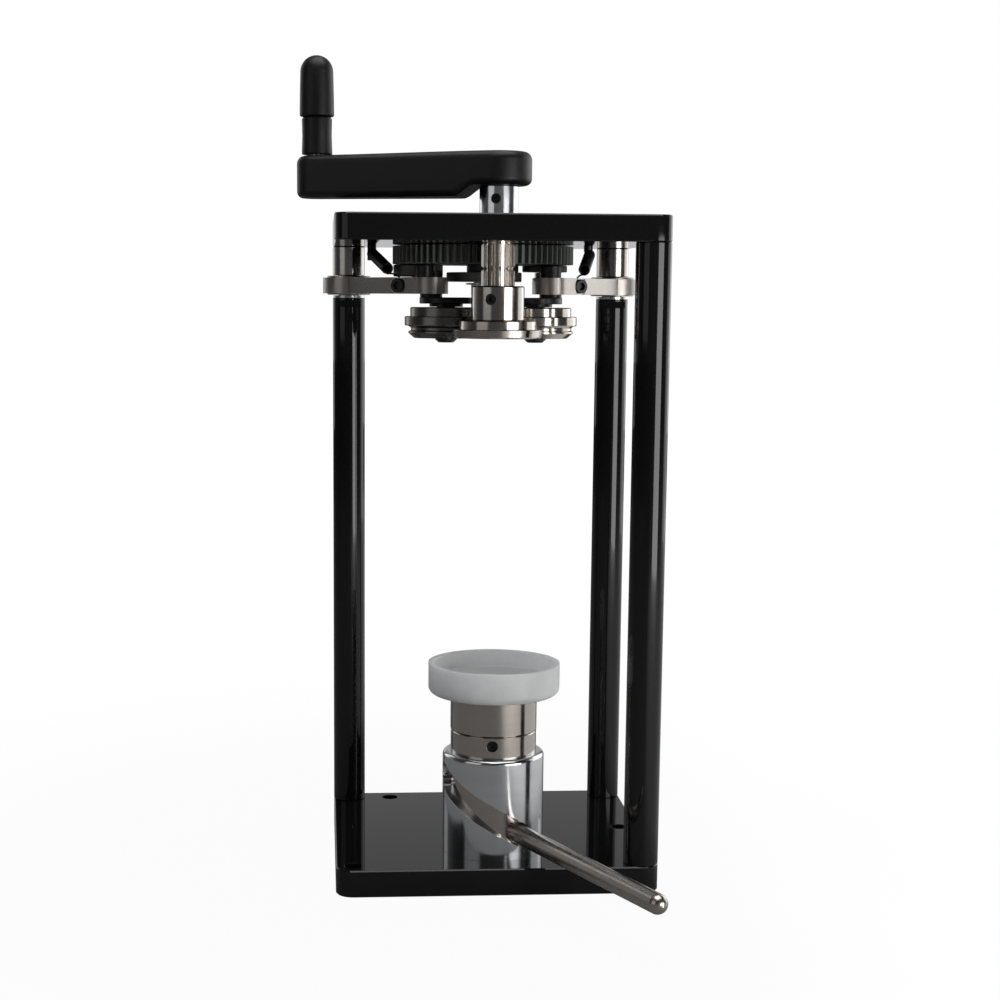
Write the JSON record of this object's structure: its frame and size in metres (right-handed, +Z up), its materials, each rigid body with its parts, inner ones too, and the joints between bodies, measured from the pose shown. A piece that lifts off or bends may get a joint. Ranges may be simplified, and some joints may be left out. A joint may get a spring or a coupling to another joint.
{
  "type": "hand can seamer",
  "caption": "Hand-cranked can seamer: slab plates on round columns, geared chuck head with seaming rolls on swing arms, and a lever lift with a turning can cup.",
  "frame": {"origin": "centre of the base plate's flat underside", "axes": "+Z up along the columns, -Y towards the operator's lever side, +X to the operator's right"},
  "size_m": [0.229, 0.3051, 0.5107],
  "materials": {
    "black_enamel": "gloss black",
    "black_moulding": "fine matte",
    "cup_nylon": "milky satin",
    "bright_chrome": "polished",
    "satin_steel": "brushed",
    "turned_steel": "fine turned",
    "pinion_steel": "bright ground",
    "gear_steel": "oiled grey",
    "roll_steel": "hardened dark",
    "black_oxide": "black oxide",
    "zinc_plate": "zinc plated",
    "bronze": "sintered",
    "lever_steel": "long brushed"
  },
  "bodies": {
    "frame": {"base_plate": "black_enamel", "top_plate": "black_enamel", "column_front_right": "black_enamel", "column_rear_right": "black_enamel", "column_rear_left": "black_enamel", "column_base_screws": "black_oxide", "column_top_screws": "black_oxide", "pivot_washers": "zinc_plate", "pivot_sleeve_left": "satin_steel", "pivot_sleeve_right": "satin_steel", "lift_cylinder": "bright_chrome", "cylinder_screws": "black_oxide", "shaft_bush": "bronze", "countershaft_stud": "zinc_plate", "countershaft_nut": "zinc_plate", "spring_posts": "black_oxide"},
    "crank": {"crank_arm": "black_moulding", "crank_collar": "bright_chrome", "collar_set_screw": "black_oxide", "hub_screw": "black_oxide", "pinion_shaft": "pinion_steel", "chuck_collar": "satin_steel", "chuck_set_screw": "black_oxide", "chuck": "turned_steel", "chuck_screw": "black_oxide", "grip_axle": "zinc_plate"},
    "grip": {"grip_sleeve": "black_moulding", "grip_cap": "black_moulding"},
    "cams": {"cam_gear": "gear_steel", "upper_cam": "gear_steel", "lower_cam": "gear_steel", "gear_bush": "bronze", "cam_screws": "black_oxide"},
    "left_arm": {"left_arm": "satin_steel", "left_bush": "bronze", "left_spindle": "black_oxide", "left_lock_screw": "black_oxide", "left_spring_screw": "black_oxide", "left_follower_pin": "zinc_plate", "left_roll_screw": "black_oxide", "left_spring": "black_oxide"},
    "left_follower": {"left_follower": "gear_steel"},
    "left_roll": {"left_roll": "roll_steel"},
    "right_arm": {"right_arm": "satin_steel", "right_bush": "bronze", "right_spindle": "black_oxide", "right_lock_screw": "black_oxide", "right_spring_screw": "black_oxide", "right_follower_pin": "zinc_plate", "right_roll_screw": "black_oxide", "right_spring": "black_oxide"},
    "right_follower": {"right_follower": "gear_steel"},
    "right_roll": {"right_roll": "turned_steel"},
    "lift_carrier": {"lift_spindle": "zinc_plate", "thrust_bearing": "zinc_plate"},
    "lift_piston": {"lift_piston": "turned_steel", "piston_set_screw": "black_oxide", "lever_rod": "lever_steel"},
    "cup": {"turntable_hub": "turned_steel", "can_cup": "cup_nylon"}
  },
  "joints": [
    {"name": "crank_spin", "type": "hinge", "parent": "frame", "child": "crank", "pos_m": [0, -0.0415, 0.43], "axis": [0, 0, 1], "continuous": true},
    {"name": "grip_spin", "type": "hinge", "parent": "crank", "child": "grip", "pos_m": [-0.10998, -0.00788, 0.48], "axis": [0, 0, 1], "continuous": true},
    {"name": "cam_spin", "type": "hinge", "parent": "frame", "child": "cams", "pos_m": [-0.0036, 0.0244, 0.39], "axis": [0, 0, 1], "continuous": true},
    {"name": "left_arm_swing", "type": "hinge", "parent": "frame", "child": "left_arm", "pos_m": [-0.08925, 0.07725, 0.371], "axis": [0, 0, 1], "range_deg": [-12, 0], "stiffness_Nm_per_rad": 0.5, "deforming": ["left_spring"]},
    {"name": "right_arm_swing", "type": "hinge", "parent": "frame", "child": "right_arm", "pos_m": [0.08925, 0.07725, 0.371], "axis": [0, 0, 1], "range_deg": [0, 12], "stiffness_Nm_per_rad": 0.5, "deforming": ["right_spring"]},
    {"name": "left_follower_spin", "type": "hinge", "parent": "left_arm", "child": "left_follower", "pos_m": [-0.0452, 0.0275, 0.381], "axis": [0, 0, 1], "continuous": true},
    {"name": "right_follower_spin", "type": "hinge", "parent": "right_arm", "child": "right_follower", "pos_m": [0.037, 0.0275, 0.3825], "axis": [0, 0, 1], "continuous": true},
    {"name": "left_roll_spin", "type": "hinge", "parent": "left_arm", "child": "left_roll", "pos_m": [-0.0285, 0.004, 0.348], "axis": [0, 0, 1], "continuous": true},
    {"name": "right_roll_spin", "type": "hinge", "parent": "right_arm", "child": "right_roll", "pos_m": [0.0285, 0.004, 0.348], "axis": [0, 0, 1], "continuous": true},
    {"name": "lift_rise", "type": "slide", "parent": "frame", "child": "lift_carrier", "axis": [0, 0, 1], "range_m": [0, 0.0332]},
    {"name": "lever_turn", "type": "hinge", "parent": "lift_carrier", "child": "lift_piston", "pos_m": [0, -0.0415, 0.034], "axis": [0, 0, 1], "range_deg": [-105, 0]},
    {"name": "cup_spin", "type": "hinge", "parent": "lift_carrier", "child": "cup", "pos_m": [0, -0.0415, 0.11], "axis": [0, 0, 1], "continuous": true}
  ],
  "couplings": [
    {"joint": "cam_spin", "follows": "crank_spin", "ratio": -0.1579},
    {"joint": "lift_rise", "follows": "lever_turn", "m_per_rad": -0.018106}
  ]
}
